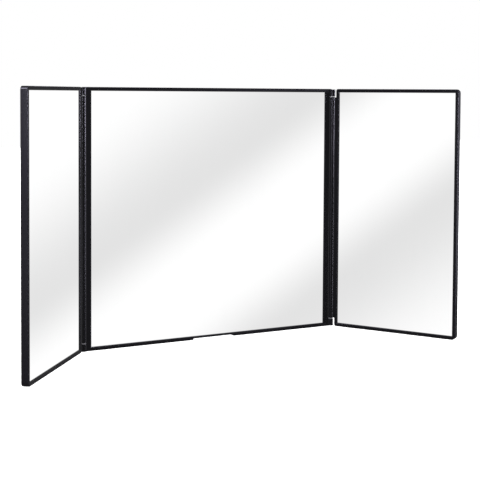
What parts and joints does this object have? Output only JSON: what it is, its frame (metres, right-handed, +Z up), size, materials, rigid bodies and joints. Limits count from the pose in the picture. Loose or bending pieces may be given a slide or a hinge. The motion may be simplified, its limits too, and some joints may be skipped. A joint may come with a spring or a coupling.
{
  "type": "folding three-panel mirror",
  "caption": "Folding table mirror: a wide centre mirror and two half-width wing mirrors on barrel hinges, in thin black moulded frames.",
  "frame": {"origin": "centre of the bottom of the bounding box, as the mirror stands with its left wing folded 50 degrees and its right wing 60 degrees forward of flat", "axes": "+X to the right seen from the front, along the centre panel; +Y towards the back; +Z up"},
  "size_m": [0.5006, 0.1418, 0.2804],
  "materials": {
    "frame_plastic": "satin black moulded plastic",
    "cover_plastic": "fine-grained black moulded plastic",
    "mirror_glass": "silvered float glass with ground edges",
    "foam": "closed-cell foam sheet",
    "foot_rubber": "matt black anti-slip rubber",
    "pin_steel": "drawn steel wire",
    "bush_acetal": "dark grey acetal"
  },
  "bodies": {
    "centre_panel": {"centre_frame": "frame_plastic", "centre_mirror": "mirror_glass", "centre_foam_pad": "foam", "centre_back_cover": "cover_plastic", "centre_foot_left": "foot_rubber", "centre_foot_right": "foot_rubber", "hinge_pin_left_top": "pin_steel", "hinge_pin_left_bottom": "pin_steel", "hinge_pin_right_top": "pin_steel", "hinge_pin_right_bottom": "pin_steel"},
    "left_wing": {"left_wing_frame": "frame_plastic", "left_wing_mirror": "mirror_glass", "left_wing_foam_pad": "foam", "left_wing_back_cover": "cover_plastic", "left_wing_foot_inner": "foot_rubber", "left_wing_foot_outer": "foot_rubber", "hinge_bush_left_top": "bush_acetal", "hinge_bush_left_bottom": "bush_acetal"},
    "right_wing": {"right_wing_frame": "frame_plastic", "right_wing_mirror": "mirror_glass", "right_wing_foam_pad": "foam", "right_wing_back_cover": "cover_plastic", "right_wing_foot_inner": "foot_rubber", "right_wing_foot_outer": "foot_rubber", "hinge_bush_right_top": "bush_acetal", "hinge_bush_right_bottom": "bush_acetal"}
  },
  "joints": [
    {"name": "left_wing_hinge", "type": "hinge", "parent": "centre_panel", "child": "left_wing", "pos_m": [-0.14487, 0.06271, 0.1404], "axis": [0, 0, 1], "range_deg": [-50, 130]},
    {"name": "right_wing_hinge", "type": "hinge", "parent": "centre_panel", "child": "right_wing", "pos_m": [0.16613, 0.06271, 0.1404], "axis": [0, 0, -1], "range_deg": [-60, 120]}
  ]
}
